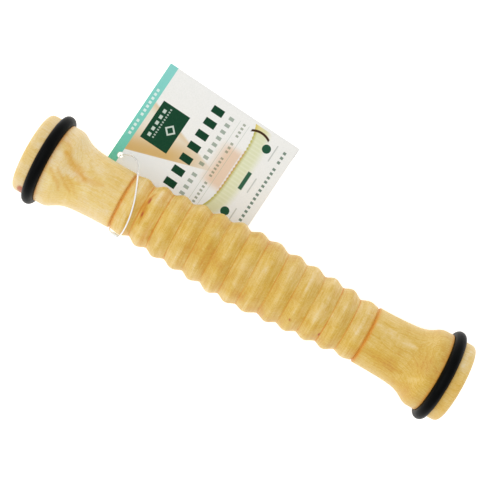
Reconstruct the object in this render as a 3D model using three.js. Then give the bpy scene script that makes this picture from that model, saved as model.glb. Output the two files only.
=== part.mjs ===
// Turned-wood foot massage roller with two rubber rings and a hang tag on a nylon loop.
//
// Millimetres, +Z up. The roller's axis lies along X at the height of the rings'
// outer radius, so the rings stand on z = 0 and the origin is under its middle.
//
//   roller_body       one-piece hardwood turning: flat ends, flared shoulders with a
//                     ring seat each, waisted necks, V grooves and thirteen ribs
//   rubber_ring_left  O-ring seated in the shoulder groove at -X
//   rubber_ring_right O-ring seated in the shoulder groove at +X
//   hang_tag          printed card with a punched corner hole
//   tag_loop          nylon filament: through the tag's hole and round the roller
//   loop_lock         small head that holds both ends of the filament

import * as THREE from 'three';
import { mergeVertices } from 'three/addons/utils/BufferGeometryUtils.js';

// ---------------------------------------------------------------- dimensions
const LENGTH = 280;            // overall, end face to end face
const RING_OUTER_R = 28.4;     // rings stand on the floor with this radius
const RING_SECTION = 7.0;      // diameter of the ring's round section
const RING_X = 128.7;          // ring centre planes at +-RING_X
const SEAT_GAP = 0.3;          // gap between a ring and its seat
const END_R = 24.4;            // shoulder radius at the ring and at the end
const RIM_FILLET = 3.0;        // rounded edge of each end face
const AXIS_Z = RING_OUTER_R;

const SIDES = 32;              // facets round the axis; a flat one faces down
const OUT = 1 / Math.cos(Math.PI / SIDES);   // the facets touch the true circle

// Flare from the shoulder down to the neck: [distance from mid-length, radius].
const FLARE = [
  [119.5, 24.25], [117.0, 23.55], [114.6, 22.1], [111.9, 20.55],
  [109.0, 19.45], [105.6, 18.75], [100.0, 18.2], [92.0, 17.85], [82.6, 17.65],
];
// V groove between each neck and the ribs.
const V_GROOVE_HALF = 0.85;    // half its width
const V_GROOVE_R = 16.45;      // radius at its root
const V_GROOVE_X = [-79.6, 79.6];

// Rib crests and the valleys between them: [x, radius].
const CRESTS = [
  [-72.9, 18.25], [-61.2, 19.2], [-49.5, 19.95], [-36.7, 20.75], [-24.9, 21.5],
  [-12.1, 22.7], [-0.3, 22.85], [11.4, 22.45], [25.2, 21.45], [37.1, 20.7],
  [49.4, 20.05], [61.5, 19.3], [74.1, 18.15],
];
const VALLEYS = [
  [-67.2, 16.2], [-55.3, 17.45], [-43.2, 18.15], [-30.7, 18.9], [-18.9, 19.75],
  [-6.4, 20.5], [5.5, 20.95], [19.1, 19.55], [31.3, 19.0], [43.8, 18.1],
  [56.0, 17.5], [67.9, 16.45],
];

// Hang tag: the card's own frame has its origin at the hole.
const TAG_LONG = [-5.7, 86.9];     // along the long edge
const TAG_SHORT = [-5.2, 62.6];    // across it
const TAG_THICK = 0.45;
const TAG_HOLE_R = 1.65;
const TAG_HOLE = [-96.9, 22.9, 3.0];            // hole at the card's underside
const TAG_YAW = THREE.MathUtils.degToRad(-4.85);
const TAG_TILT = Math.asin((TAG_HOLE[2] - 0.15) / TAG_SHORT[1]);  // far edge lies on the floor

// Nylon loop: from the lock, over the roller, down through the tag's hole,
// back under the tag and the neck, and up to the lock again.
const LOOP_D = 0.9;
const LOOP_STEPS = 76;
const LOOP_PATH = [
  [-72.55, -19.55, 27.25], [-71.85, -19.0, 31.1], [-71.1, -17.6, 35.5],
  [-70.4, -15.0, 40.0], [-70.1, -10.3, 44.4], [-70.6, -4.6, 46.9],
  [-72.0, 1.8, 47.35], [-74.0, 7.5, 45.9], [-76.6, 13.2, 42.1],
  [-79.1, 18.0, 37.6], [-81.6, 21.5, 33.1], [-84.2, 24.0, 27.5],
  [-87.1, 25.3, 20.8], [-90.3, 25.4, 14.2], [-93.4, 24.6, 8.8],
  [-95.7, 23.6, 5.4], [-96.95, 22.9, 3.1], [-97.2, 22.0, 1.65],
  [-96.7, 20.5, 0.8], [-95.4, 17.6, 0.62], [-93.2, 12.6, 0.62],
  [-90.8, 7.0, 0.7], [-88.4, 1.2, 1.3], [-86.0, -4.6, 2.9],
  [-83.9, -10.0, 5.9], [-82.1, -14.5, 10.2], [-80.6, -17.6, 15.4],
  [-79.1, -18.95, 20.1], [-77.9, -19.35, 22.45],
];
// Lock head: a stub bar between the two ends of the filament.
const LOCK_GAP = 0.3;
const LOCK_W = 2.4;
const LOCK_H = 1.9;

// ---------------------------------------------------------------- materials
const wood = new THREE.MeshStandardMaterial({ color: 0xdcb877, roughness: 0.55, metalness: 0 });
const rubberL = new THREE.MeshStandardMaterial({ color: 0x16181a, roughness: 0.5, metalness: 0 });
const rubberR = new THREE.MeshStandardMaterial({ color: 0x16181a, roughness: 0.5, metalness: 0 });
const card = new THREE.MeshStandardMaterial({ color: 0xe9e9e7, roughness: 0.6, metalness: 0 });
const nylon = new THREE.MeshStandardMaterial({ color: 0xf2f2f0, roughness: 0.3, metalness: 0 });
const nylonLock = new THREE.MeshStandardMaterial({ color: 0xe8eef2, roughness: 0.3, metalness: 0 });

// ---------------------------------------------------------------- helpers
// Merge shared vertices so that each piece is one closed body.
function closed(geometry) {
  for (const name of ['normal', 'uv']) geometry.deleteAttribute(name);
  const merged = mergeVertices(geometry, 1e-4);
  // drop the zero-area faces that a lathe makes on its axis
  const p = merged.attributes.position;
  const idx = merged.index.array;
  const keep = [];
  for (let i = 0; i < idx.length; i += 3) {
    const [a, b, c] = [idx[i], idx[i + 1], idx[i + 2]];
    if (a !== b && b !== c && c !== a) keep.push(a, b, c);
  }
  // outward faces have a positive signed volume
  let v6 = 0;
  const A = new THREE.Vector3(), B = new THREE.Vector3(), C = new THREE.Vector3();
  for (let i = 0; i < keep.length; i += 3) {
    A.fromBufferAttribute(p, keep[i]);
    B.fromBufferAttribute(p, keep[i + 1]);
    C.fromBufferAttribute(p, keep[i + 2]);
    v6 += A.dot(B.cross(C));
  }
  if (v6 < 0) for (let i = 0; i < keep.length; i += 3) [keep[i + 1], keep[i + 2]] = [keep[i + 2], keep[i + 1]];
  merged.setIndex(keep);
  merged.computeVertexNormals();
  return merged;
}

// Turn a profile of [x, radius] about the X axis.
function turned(profile) {
  const points = profile.map(([x, r]) => new THREE.Vector2(r * OUT, x));
  const g = new THREE.LatheGeometry(points, SIDES, Math.PI / SIDES);
  g.rotateZ(-Math.PI / 2);           // the lathe's +Y becomes +X
  return closed(g);
}

// ---------------------------------------------------------------- roller body
function shoulderProfile(side) {
  // from the end face inwards, as [x, radius], for side = -1 or +1
  const out = [];
  out.push([side * LENGTH / 2, 0]);
  for (let i = 0; i <= 4; i++) {
    const a = (Math.PI / 2) * (i / 4);
    out.push([
      side * (LENGTH / 2 - RIM_FILLET * (1 - Math.cos(a))),
      END_R - RIM_FILLET + RIM_FILLET * Math.sin(a),
    ]);
  }
  // ring seat: an arc concentric with the ring's section
  const seatR = RING_SECTION / 2 + SEAT_GAP;
  const centreR = RING_OUTER_R - RING_SECTION / 2;
  const half = Math.acos((centreR - END_R) / seatR);
  for (let i = 0; i <= 8; i++) {
    const a = half * (1 - i / 4);    // from the outer lip, round the root, to the inner lip
    out.push([side * (RING_X + seatR * Math.sin(a)), centreR - seatR * Math.cos(a)]);
  }
  for (const [x, r] of FLARE) out.push([side * x, r]);
  return out;
}

function ribProfile() {
  const out = [];
  const gl = V_GROOVE_X[0], gr = V_GROOVE_X[1];
  out.push([gl - V_GROOVE_HALF, 17.65], [gl, V_GROOVE_R], [gl + V_GROOVE_HALF, 17.35]);
  const edge = (from, to, n, skipFirst) => {
    // wave between a valley and a crest, round at the crest and easing into the valley
    const [vx, vr] = from.valley ? from.p : to.p;
    const [cx, cr] = from.valley ? to.p : from.p;
    for (let i = skipFirst ? 1 : 0; i <= n; i++) {
      const k = i / n;
      const x = from.p[0] + (to.p[0] - from.p[0]) * k;
      const t = Math.abs((x - cx) / (vx - cx));
      out.push([x, vr + (cr - vr) * Math.pow(Math.max(Math.cos((Math.PI / 2) * t), 0), 1.6)]);
    }
  };
  const ends = [[gl + V_GROOVE_HALF, 17.35], ...VALLEYS, [gr - V_GROOVE_HALF, 17.35]];
  for (let i = 0; i < CRESTS.length; i++) {
    edge({ p: ends[i], valley: true }, { p: CRESTS[i] }, 3, true);
    edge({ p: CRESTS[i] }, { p: ends[i + 1], valley: true }, 3, true);
  }
  out.push([gr, V_GROOVE_R], [gr + V_GROOVE_HALF, 17.65]);
  return out;
}

const bodyProfile = [...shoulderProfile(-1), ...ribProfile(), ...shoulderProfile(1).reverse()];
const rollerBody = new THREE.Mesh(turned(bodyProfile), wood);
rollerBody.name = 'roller_body';
rollerBody.position.set(0, 0, AXIS_Z);

// ---------------------------------------------------------------- rubber rings
function ring(name, x, material) {
  const n = 12;
  const rc = RING_OUTER_R - RING_SECTION / 2;
  const profile = [];
  for (let i = 0; i <= n; i++) {
    const a = (2 * Math.PI * (i % n)) / n;
    profile.push([(RING_SECTION / 2) * Math.sin(a), rc + (RING_SECTION / 2) * Math.cos(a)]);
  }
  const mesh = new THREE.Mesh(turned(profile), material);
  mesh.name = name;
  mesh.position.set(x, 0, AXIS_Z);
  return mesh;
}
const ringLeft = ring('rubber_ring_left', -RING_X, rubberL);
const ringRight = ring('rubber_ring_right', RING_X, rubberR);

// ---------------------------------------------------------------- hang tag
const tagShape = new THREE.Shape([
  new THREE.Vector2(TAG_LONG[0], TAG_SHORT[0]),
  new THREE.Vector2(TAG_LONG[1], TAG_SHORT[0]),
  new THREE.Vector2(TAG_LONG[1], TAG_SHORT[1]),
  new THREE.Vector2(TAG_LONG[0], TAG_SHORT[1]),
]);
const hole = new THREE.Path();
hole.absarc(0, 0, TAG_HOLE_R, 0, 2 * Math.PI, true);
tagShape.holes.push(hole);
const hangTag = new THREE.Mesh(
  closed(new THREE.ExtrudeGeometry(tagShape, { depth: TAG_THICK, bevelEnabled: false, curveSegments: 10 })),
  card,
);
hangTag.name = 'hang_tag';
// tilt about the long edge, then yaw
hangTag.rotation.set(-TAG_TILT, 0, 0);
const tagHolder = new THREE.Group();
tagHolder.rotation.z = TAG_YAW;
tagHolder.position.set(...TAG_HOLE);
tagHolder.add(hangTag);

// ---------------------------------------------------------------- nylon loop
const loopCurve = new THREE.CatmullRomCurve3(
  LOOP_PATH.map(([x, y, z]) => new THREE.Vector3(x, y, z)), false, 'centripetal',
);
const section = new THREE.Shape();
for (let i = 0; i < 8; i++) {
  const a = (2 * Math.PI * (i + 0.5)) / 8;
  const x = (LOOP_D / 2) * Math.cos(a), y = (LOOP_D / 2) * Math.sin(a);
  if (i === 0) section.moveTo(x, y); else section.lineTo(x, y);
}
section.closePath();
const tagLoop = new THREE.Mesh(
  closed(new THREE.ExtrudeGeometry(section, { steps: LOOP_STEPS, extrudePath: loopCurve, bevelEnabled: false })),
  nylon,
);
tagLoop.name = 'tag_loop';

// ---------------------------------------------------------------- loop lock
const start = new THREE.Vector3(...LOOP_PATH[0]);
const end = new THREE.Vector3(...LOOP_PATH[LOOP_PATH.length - 1]);
const along = new THREE.Vector3().subVectors(end, start);
const lockLength = along.length() - 2 * LOCK_GAP;
along.normalize();
const c = 0.5;                     // corner chamfer of the bar's section
const bar = new THREE.Shape([
  [LOCK_W / 2 - c, -LOCK_H / 2], [LOCK_W / 2, -LOCK_H / 2 + c], [LOCK_W / 2, LOCK_H / 2 - c], [LOCK_W / 2 - c, LOCK_H / 2],
  [-LOCK_W / 2 + c, LOCK_H / 2], [-LOCK_W / 2, LOCK_H / 2 - c], [-LOCK_W / 2, -LOCK_H / 2 + c], [-LOCK_W / 2 + c, -LOCK_H / 2],
].map(([x, y]) => new THREE.Vector2(x, y)));
const lockGeometry = new THREE.ExtrudeGeometry(bar, { depth: lockLength, bevelEnabled: false });
lockGeometry.translate(0, 0, -lockLength / 2);
const loopLock = new THREE.Mesh(closed(lockGeometry), nylonLock);
loopLock.name = 'loop_lock';
// the bar runs along the line between the filament's ends, flat side to the roller
const mid = new THREE.Vector3().addVectors(start, end).multiplyScalar(0.5);
const radial = new THREE.Vector3(0, mid.y, mid.z - AXIS_Z);
radial.addScaledVector(along, -radial.dot(along)).normalize();
const across = new THREE.Vector3().crossVectors(radial, along);
loopLock.quaternion.setFromRotationMatrix(new THREE.Matrix4().makeBasis(across, radial, along));
loopLock.position.copy(mid);

// ---------------------------------------------------------------- assembly
const roller = new THREE.Group();
roller.add(rollerBody, ringLeft, ringRight);
const tagSet = new THREE.Group();
tagSet.add(tagLoop, loopLock, tagHolder);
const massager = new THREE.Group();
massager.add(roller, tagSet);

export default massager;
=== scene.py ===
import math

import bmesh
import bpy
import numpy as np
from mathutils import Matrix, Vector


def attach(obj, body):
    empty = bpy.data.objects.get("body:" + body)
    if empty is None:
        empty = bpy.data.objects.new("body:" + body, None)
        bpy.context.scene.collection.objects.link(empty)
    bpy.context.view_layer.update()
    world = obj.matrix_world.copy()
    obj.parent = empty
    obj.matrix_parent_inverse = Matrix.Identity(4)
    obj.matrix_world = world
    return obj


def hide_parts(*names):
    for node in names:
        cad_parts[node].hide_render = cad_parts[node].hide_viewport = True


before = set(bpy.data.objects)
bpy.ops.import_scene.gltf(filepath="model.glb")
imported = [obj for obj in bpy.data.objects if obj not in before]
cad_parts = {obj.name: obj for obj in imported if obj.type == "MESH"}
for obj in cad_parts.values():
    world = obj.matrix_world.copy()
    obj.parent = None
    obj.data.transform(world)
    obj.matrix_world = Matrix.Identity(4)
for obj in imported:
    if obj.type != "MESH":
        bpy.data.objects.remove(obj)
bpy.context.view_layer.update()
MM = 0.001

# ---------------------------------------------------------------- dimensions, as in the part (mm)
LENGTH = 280.0
RING_OUTER_R = 28.4
RING_SECTION = 7.0
RING_X = 128.7
END_R = 24.4
RIM_FILLET = 3.0
AXIS_Z = RING_OUTER_R
FLARE = [
    (119.5, 24.25), (117.0, 23.55), (114.6, 22.1), (111.9, 20.55),
    (109.0, 19.45), (105.6, 18.75), (100.0, 18.2), (92.0, 17.85), (82.6, 17.65),
]
V_GROOVE_HALF = 0.85
V_GROOVE_R = 16.45
V_GROOVE_X = (-79.6, 79.6)
CRESTS = [
    (-72.9, 18.25), (-61.2, 19.2), (-49.5, 19.95), (-36.7, 20.75), (-24.9, 21.5),
    (-12.1, 22.7), (-0.3, 22.85), (11.4, 22.45), (25.2, 21.45), (37.1, 20.7),
    (49.4, 20.05), (61.5, 19.3), (74.1, 18.15),
]
VALLEYS = [
    (-67.2, 16.2), (-55.3, 17.45), (-43.2, 18.15), (-30.7, 18.9), (-18.9, 19.75),
    (-6.4, 20.5), (5.5, 20.95), (19.1, 19.55), (31.3, 19.0), (43.8, 18.1),
    (56.0, 17.5), (67.9, 16.45),
]
TAG_LONG = (-5.7, 86.9)
TAG_SHORT = (-5.2, 62.6)
TAG_THICK = 0.45
TAG_HOLE_R = 1.65
TAG_HOLE = (-96.9, 22.9, 3.0)
TAG_YAW = math.radians(-4.85)
TAG_TILT = math.asin((TAG_HOLE[2] - 0.15) / TAG_SHORT[1])
LOOP_D = 0.9
LOOP_PATH = [
    (-72.55, -19.55, 27.25), (-71.85, -19.0, 31.1), (-71.1, -17.6, 35.5),
    (-70.4, -15.0, 40.0), (-70.1, -10.3, 44.4), (-70.6, -4.6, 46.9),
    (-72.0, 1.8, 47.35), (-74.0, 7.5, 45.9), (-76.6, 13.2, 42.1),
    (-79.1, 18.0, 37.6), (-81.6, 21.5, 33.1), (-84.2, 24.0, 27.5),
    (-87.1, 25.3, 20.8), (-90.3, 25.4, 14.2), (-93.4, 24.6, 8.8),
    (-95.7, 23.6, 5.4), (-96.95, 22.9, 3.1), (-97.2, 22.0, 1.65),
    (-96.7, 20.5, 0.8), (-95.4, 17.6, 0.62), (-93.2, 12.6, 0.62),
    (-90.8, 7.0, 0.7), (-88.4, 1.2, 1.3), (-86.0, -4.6, 2.9),
    (-83.9, -10.0, 5.9), (-82.1, -14.5, 10.2), (-80.6, -17.6, 15.4),
    (-79.1, -18.95, 20.1), (-77.9, -19.35, 22.45),
]
LOCK_GAP = 0.3
LOCK_W = 2.4
LOCK_H = 1.9


def srgb(r, g, b):
    """0..255 screen colour to the linear RGBA that shaders take."""
    def lin(c):
        c /= 255.0
        return c / 12.92 if c <= 0.04045 else ((c + 0.055) / 1.055) ** 2.4
    return (lin(r), lin(g), lin(b), 1.0)


# ---------------------------------------------------------------- camera
cam_data = bpy.data.cameras.new("camera")
cam_data.sensor_width = 36.0
cam_data.lens = 99.36
cam_data.clip_start = 0.01
cam_data.clip_end = 20.0
cam = bpy.data.objects.new("camera", cam_data)
cam.location = (-0.00193, 0.01059, 0.8260)
cam.rotation_euler = (0.0, 0.0, math.radians(28.85))
bpy.context.collection.objects.link(cam)
bpy.context.scene.camera = cam


# ---------------------------------------------------------------- node helpers
class Nodes:
    """Short names for building a shader's node tree."""

    def __init__(self, name):
        self.mat = bpy.data.materials.new(name)
        self.mat.use_nodes = True
        self.nt = self.mat.node_tree
        self.nt.nodes.clear()
        self.out = self.nt.nodes.new("ShaderNodeOutputMaterial")

    def put(self, socket, value):
        if isinstance(value, bpy.types.NodeSocket):
            self.nt.links.new(value, socket)
        elif value is not None:
            socket.default_value = value

    def new(self, kind, **props):
        n = self.nt.nodes.new(kind)
        for k, v in props.items():
            setattr(n, k, v)
        return n

    def math(self, op, a, b=None, c=None, clamp=False):
        n = self.new("ShaderNodeMath", operation=op, use_clamp=clamp)
        self.put(n.inputs[0], a)
        if b is not None:
            self.put(n.inputs[1], b)
        if c is not None:
            self.put(n.inputs[2], c)
        return n.outputs[0]

    def add(self, a, b):
        return self.math("ADD", a, b)

    def sub(self, a, b):
        return self.math("SUBTRACT", a, b)

    def mul(self, a, b):
        return self.math("MULTIPLY", a, b)

    def vec(self, op, a, b=None):
        n = self.new("ShaderNodeVectorMath", operation=op)
        self.put(n.inputs[0], a)
        if b is not None:
            self.put(n.inputs[1], b)
        return n.outputs[0]

    def attr(self, name):
        return self.new("ShaderNodeAttribute", attribute_name=name).outputs["Fac"]

    def coords(self):
        return self.new("ShaderNodeTexCoord").outputs["Object"]

    def xyz(self, v):
        n = self.new("ShaderNodeSeparateXYZ")
        self.put(n.inputs[0], v)
        return n.outputs

    def join(self, x, y, z):
        n = self.new("ShaderNodeCombineXYZ")
        for i, v in enumerate((x, y, z)):
            self.put(n.inputs[i], v)
        return n.outputs[0]

    def noise(self, v, scale, detail=3.0, rough=0.5, distort=0.0, what=0):
        n = self.new("ShaderNodeTexNoise")
        self.put(n.inputs["Vector"], v)
        n.inputs["Scale"].default_value = scale
        n.inputs["Detail"].default_value = detail
        n.inputs["Roughness"].default_value = rough
        n.inputs["Distortion"].default_value = distort
        return n.outputs[what]

    def map(self, v, a, b, c, d, kind="LINEAR"):
        n = self.new("ShaderNodeMapRange", interpolation_type=kind)
        self.put(n.inputs["Value"], v)
        for k, x in zip(("From Min", "From Max", "To Min", "To Max"), (a, b, c, d)):
            n.inputs[k].default_value = x
        return n.outputs["Result"]

    def ramp(self, v, stops, kind="LINEAR"):
        n = self.new("ShaderNodeValToRGB")
        self.put(n.inputs[0], v)
        r = n.color_ramp
        r.interpolation = kind
        while len(r.elements) > 2:
            r.elements.remove(r.elements[-1])
        for i, (p, c) in enumerate(stops):
            e = r.elements[i] if i < 2 else r.elements.new(p)
            e.position = p
            e.color = c
        return n.outputs[0]

    def mix(self, f, a, b, blend="MIX"):
        n = self.new("ShaderNodeMix", data_type="RGBA", blend_type=blend)
        self.put(n.inputs[0], f)
        self.put(n.inputs[6], a)
        self.put(n.inputs[7], b)
        return n.outputs[2]

    def bump(self, height, strength, distance, under=None):
        n = self.new("ShaderNodeBump")
        n.inputs["Strength"].default_value = strength
        n.inputs["Distance"].default_value = distance
        self.put(n.inputs["Height"], height)
        if under is not None:
            self.put(n.inputs["Normal"], under)
        return n.outputs[0]

    def surface(self, **sockets):
        b = self.new("ShaderNodeBsdfPrincipled")
        for k, v in sockets.items():
            self.put(b.inputs[k.replace("_", " ")], v)
        self.put(self.out.inputs["Surface"], b.outputs[0])
        return b


def mesh_object(name, verts, faces, materials, smooth=True, index=None):
    me = bpy.data.meshes.new(name)
    me.from_pydata([tuple(v) for v in verts], [], faces)
    for m in materials:
        me.materials.append(m)
    if index is not None:
        me.polygons.foreach_set("material_index", np.asarray(index, np.int32))
    me.polygons.foreach_set("use_smooth", np.full(len(me.polygons), smooth))
    me.update()
    ob = bpy.data.objects.new(name, me)
    bpy.context.collection.objects.link(ob)
    return ob


# ---------------------------------------------------------------- smooth noise for shapes and tints
def _hash(ix, iy, iz, seed):
    h = (ix * 374761393 + iy * 668265263 + iz * 2147483647 + seed * 974634777) & 0xFFFFFFFF
    h = ((h ^ (h >> 13)) * 1274126177) & 0xFFFFFFFF
    return ((h ^ (h >> 16)) & 0xFFFF) / 65535.0


def noise3(p, seed=0):
    """Value noise in -1..1 at points p of shape (n, 3)."""
    p = np.asarray(p, float)
    i = np.floor(p).astype(np.int64)
    f = p - i
    u = f * f * (3 - 2 * f)
    out = 0.0
    for dx in (0, 1):
        for dy in (0, 1):
            for dz in (0, 1):
                w = (
                    (u[:, 0] if dx else 1 - u[:, 0])
                    * (u[:, 1] if dy else 1 - u[:, 1])
                    * (u[:, 2] if dz else 1 - u[:, 2])
                )
                out = out + w * _hash(i[:, 0] + dx, i[:, 1] + dy, i[:, 2] + dz, seed)
    return out * 2 - 1


# ---------------------------------------------------------------- nylon loop: the cord
def catmull(points, per):
    """Centripetal Catmull-Rom through the points, open, per samples a span."""
    P = [np.array(p, float) for p in points]
    P = [2 * P[0] - P[1]] + P + [2 * P[-1] - P[-2]]
    out = []
    for i in range(1, len(P) - 2):
        p0, p1, p2, p3 = P[i - 1], P[i], P[i + 1], P[i + 2]
        t0 = 0.0
        t1 = t0 + np.linalg.norm(p1 - p0) ** 0.5
        t2 = t1 + np.linalg.norm(p2 - p1) ** 0.5
        t3 = t2 + np.linalg.norm(p3 - p2) ** 0.5
        for k in range(per):
            t = t1 + (t2 - t1) * k / per
            a1 = (t1 - t) / (t1 - t0) * p0 + (t - t0) / (t1 - t0) * p1
            a2 = (t2 - t) / (t2 - t1) * p1 + (t - t1) / (t2 - t1) * p2
            a3 = (t3 - t) / (t3 - t2) * p2 + (t - t2) / (t3 - t2) * p3
            b1 = (t2 - t) / (t2 - t0) * a1 + (t - t0) / (t2 - t0) * a2
            b2 = (t3 - t) / (t3 - t1) * a2 + (t - t1) / (t3 - t1) * a3
            out.append((t2 - t) / (t2 - t1) * b1 + (t - t1) / (t2 - t1) * b2)
    out.append(P[-2])
    return np.array(out)


def nylon_material(name, tint, milk, rough, clear, far=None):
    n = Nodes(name)
    co = n.coords()
    cloud = n.noise(co, 900.0, 3.0, 0.55)
    fine = n.noise(co, 5200.0, 2.0, 0.5)
    col = n.mix(n.map(cloud, 0.3, 0.7, 0.0, 1.0), srgb(*tint), srgb(*milk))
    b = n.surface(
        Base_Color=col,
        Roughness=n.map(fine, 0.25, 0.75, rough - 0.05, rough + 0.09),
        IOR=1.53,
        Normal=n.bump(fine, 0.16, 0.00005),
    )
    b.inputs["Transmission Weight"].default_value = clear
    if far is not None:                     # clearer where the strand stands off the wood
        _, y, _ = n.xyz(co)
        n.put(b.inputs["Transmission Weight"], n.map(y, 0.0165, 0.0185, clear, far))
        n.put(b.inputs["Roughness"], n.map(y, 0.0165, 0.0185, rough, 0.42))
    b.inputs["Specular IOR Level"].default_value = 0.6
    return n.mat


loop_line = catmull(LOOP_PATH, 6) * MM
cu = bpy.data.curves.new("nylon_loop", "CURVE")
cu.dimensions = "3D"
cu.bevel_depth = LOOP_D / 2 * MM
cu.bevel_resolution = 5
cu.use_fill_caps = True
sp = cu.splines.new("POLY")
sp.points.add(len(loop_line) - 1)
for q, p in zip(sp.points, loop_line):
    q.co = (*p, 1.0)
sp.use_smooth = True
cu.materials.append(nylon_material("nylon_filament", (255, 254, 252), (246, 247, 248), 0.2, 0.08, 0.60))
nylon_loop = bpy.data.objects.new("nylon_loop", cu)
bpy.context.collection.objects.link(nylon_loop)
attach(nylon_loop, "loop")
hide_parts("tag_loop")


# ---------------------------------------------------------------- loop lock: moulded head on both ends
def build_lock():
    start, end = np.array(LOOP_PATH[0]), np.array(LOOP_PATH[-1])
    along = end - start
    full = float(np.linalg.norm(along)) - 2 * LOCK_GAP
    along /= np.linalg.norm(along)
    mid = (start + end) / 2
    radial = np.array([0.0, mid[1], mid[2] - AXIS_Z])
    radial -= along * radial.dot(along)
    radial /= np.linalg.norm(radial)
    across = np.cross(radial, along)
    # [place along, half width, half height, squareness] of each station
    h = full / 2
    W, H = LOCK_W / 2, LOCK_H / 2
    stations = [
        (-h - 0.34, 0.56, 0.56, 2.0), (-h - 0.28, 0.66, 0.66, 2.0), (-h + 0.02, 0.70, 0.70, 2.2),
        (-h + 0.10, 0.86, 0.80, 2.8), (-h + 0.22, 1.04, 0.88, 3.4), (-h + 0.62, W * 0.97, H * 0.97, 3.8),
        (-h + 1.75, W, H, 4.0), (-h + 1.92, W * 0.98, H * 0.97, 4.0), (-h + 2.02, W * 0.84, H * 0.84, 3.4),
        (-h + 2.34, W * 0.82, H * 0.82, 3.2), (-h + 2.44, W * 0.98, H * 0.97, 4.0),
        (-h + 3.1, W, H, 4.0), (h - 2.1, W, H, 4.0), (h - 1.92, W * 0.97, H * 0.96, 3.8),
        (h - 1.80, W * 0.80, H * 0.80, 3.0), (h - 1.2, W * 0.74, H * 0.76, 2.6),
        (h - 0.55, W * 0.66, H * 0.70, 2.2), (h - 0.12, 0.66, 0.62, 2.0), (h + 0.26, 0.60, 0.58, 2.0),
        (h + 0.33, 0.54, 0.53, 2.0),
    ]
    # even steps along a smooth run of the stations
    s = np.array(stations)
    d = np.concatenate([[0], np.cumsum(np.linalg.norm(np.diff(s[:, :3], axis=0), axis=1))])
    t = np.linspace(0, d[-1], 96)
    s = np.stack([np.interp(t, d, s[:, k]) for k in range(4)], 1)
    for _ in range(2):
        s[1:-1] = (s[:-2] + 2 * s[1:-1] + s[2:]) / 4
    n = 40
    verts, faces = [], []
    for z, w, hh, e in s:
        for k in range(n):
            a = 2 * math.pi * k / n
            c, q = math.cos(a), math.sin(a)
            x = math.copysign(abs(c) ** (2 / e), c) * w
            y = math.copysign(abs(q) ** (2 / e), q) * hh
            verts.append((x, y, z))
    m = len(s)
    for i in range(m - 1):
        for k in range(n):
            a, b = i * n + k, i * n + (k + 1) % n
            faces.append((a, b, b + n, a + n))
    for row, flip in ((0, True), (m - 1, False)):
        z = s[row, 0]
        c = len(verts)
        verts.append((0, 0, z))
        for k in range(n):
            a, b = row * n + k, row * n + (k + 1) % n
            faces.append((b, a, c) if flip else (a, b, c))
    V = np.array(verts)
    # shallow thumb ribs on the outer flat
    z = V[:, 2]
    on = np.clip((V[:, 1] / H - 0.55) / 0.3, 0, 1) * np.clip((1.25 - np.abs(z - 0.1)) / 0.3, 0, 1)
    V[:, 1] -= on * 0.07 * (0.5 + 0.5 * np.cos(z * 2 * math.pi / 0.55))
    M = np.stack([across, radial, along], 1)
    W3 = (V @ M.T + mid) * MM
    return W3, faces


lv, lf = build_lock()
lock = mesh_object("loop_lock_head", lv, lf, [nylon_material("nylon_moulded", (228, 238, 246), (240, 246, 250), 0.38, 0.0)])
moulded = lock.data.materials[0].node_tree.nodes["Principled BSDF"].inputs
moulded["Subsurface Weight"].default_value = 0.8
moulded["Subsurface Radius"].default_value = (1.0, 1.0, 1.0)
moulded["Subsurface Scale"].default_value = 0.0012
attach(lock, "loop")
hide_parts("loop_lock")


# ---------------------------------------------------------------- roller body: fine turning
def pchip(xs, ys, q):
    """Shape-keeping cubic through the points."""
    xs, ys = np.array(xs, float), np.array(ys, float)
    h = np.diff(xs)
    d = np.diff(ys) / h
    m = np.zeros(len(xs))
    m[0], m[-1] = d[0], d[-1]
    for i in range(1, len(xs) - 1):
        if d[i - 1] * d[i] > 0:
            w1, w2 = 2 * h[i] + h[i - 1], h[i] + 2 * h[i - 1]
            m[i] = (w1 + w2) / (w1 / d[i - 1] + w2 / d[i])
    k = np.clip(np.searchsorted(xs, q) - 1, 0, len(xs) - 2)
    t = (q - xs[k]) / h[k]
    return (
        (2 * t**3 - 3 * t**2 + 1) * ys[k] + (t**3 - 2 * t**2 + t) * h[k] * m[k]
        + (-2 * t**3 + 3 * t**2) * ys[k + 1] + (t**3 - t**2) * h[k] * m[k + 1]
    )


SEAT_R = RING_SECTION / 2 + 0.05
SEAT_C = RING_OUTER_R - RING_SECTION / 2
SEAT_HALF = math.acos((SEAT_C - END_R) / SEAT_R)
LIP = SEAT_R * math.sin(SEAT_HALF)          # half the seat's width
LIP_ROUND = 0.28
_fx = [x for x, _ in FLARE][::-1] + [122.5, 126.0]
_fr = [r for _, r in FLARE][::-1] + [24.37, 24.4]
SMALL = 0.32                                # softening of the V groove's shoulders


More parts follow.
